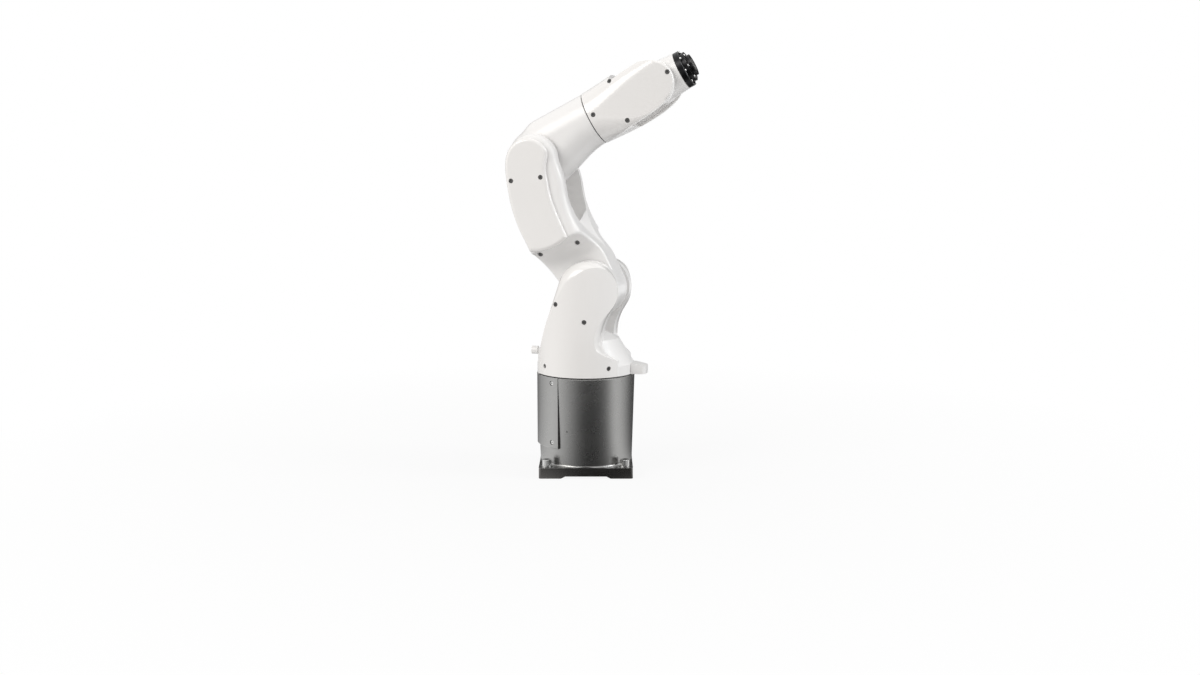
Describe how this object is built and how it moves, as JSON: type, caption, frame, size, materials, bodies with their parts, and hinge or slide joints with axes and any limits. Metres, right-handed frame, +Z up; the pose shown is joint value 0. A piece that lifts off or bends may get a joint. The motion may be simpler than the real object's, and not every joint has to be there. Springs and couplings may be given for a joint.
{
  "type": "industrial robot arm",
  "caption": "Articulated robot arm on a round cast base, with a forked link arm, a rolling forearm and wrist and a black tool flange.",
  "frame": {"origin": "centre of the foot's underside, on the waist axis", "axes": "+Z up, +X to the front of the base, the arm turned 14.5 degrees to its right at rest"},
  "size_m": [0.3507, 0.205, 0.7765],
  "materials": {
    "base_paint": "satin metallic grey",
    "base_cover_paint": "satin metallic grey",
    "dark_seal": "matte",
    "arm_paint": "semi-gloss white",
    "cover_plastic": "gloss white",
    "flange_black": "black anodised"
  },
  "bodies": {
    "base": {"base_casting": "base_paint", "base_rear_cover": "base_cover_paint", "waist_ring": "dark_seal"},
    "column": {"column_frame": "arm_paint", "column_cover_right": "cover_plastic", "column_cover_left": "cover_plastic", "column_front_lug": "arm_paint", "column_rear_stub": "arm_paint", "shoulder_bearing_right": "dark_seal", "shoulder_bearing_left": "dark_seal"},
    "link": {"link_frame": "arm_paint", "link_cover_right": "cover_plastic", "link_cover_left": "cover_plastic", "elbow_bearing_right": "dark_seal", "elbow_bearing_left": "dark_seal"},
    "forearm": {"forearm_housing": "arm_paint", "wrist_roll_ring": "dark_seal"},
    "wrist": {"wrist_housing": "arm_paint", "wrist_cover_right": "cover_plastic", "wrist_cover_left": "cover_plastic", "wrist_pivot_right": "dark_seal", "wrist_pivot_left": "dark_seal"},
    "hand": {"hand_housing": "arm_paint"},
    "flange": {"flange_ring": "flange_black", "flange_step": "flange_black", "tool_flange": "flange_black"}
  },
  "joints": [
    {"name": "waist", "type": "hinge", "parent": "base", "child": "column", "pos_m": [0, 0, 0.186], "axis": [0, 0, 1], "range_deg": [-155.5, 184.5]},
    {"name": "shoulder", "type": "hinge", "parent": "column", "child": "link", "pos_m": [0.01936, -0.00501, 0.345], "axis": [0.2504, 0.9681, 0], "range_deg": [-55.5, 144.5]},
    {"name": "elbow", "type": "hinge", "parent": "link", "child": "forearm", "pos_m": [-0.08502, 0.02199, 0.58159], "axis": [-0.2504, -0.9681, 0], "range_deg": [-67.8, 197.2]},
    {"name": "wrist_roll", "type": "hinge", "parent": "forearm", "child": "wrist", "pos_m": [0.01794, -0.00464, 0.65899], "axis": [0.8603, -0.2225, 0.4586], "range_deg": [-175, 175]},
    {"name": "wrist_tilt", "type": "hinge", "parent": "wrist", "child": "hand", "pos_m": [0.12978, -0.03356, 0.71861], "axis": [-0.2504, -0.9681, 0], "range_deg": [-120, 120]},
    {"name": "flange_turn", "type": "hinge", "parent": "hand", "child": "flange", "pos_m": [0.17279, -0.04469, 0.74154], "axis": [0.8603, -0.2225, 0.4586], "range_deg": [-350, 350]}
  ]
}
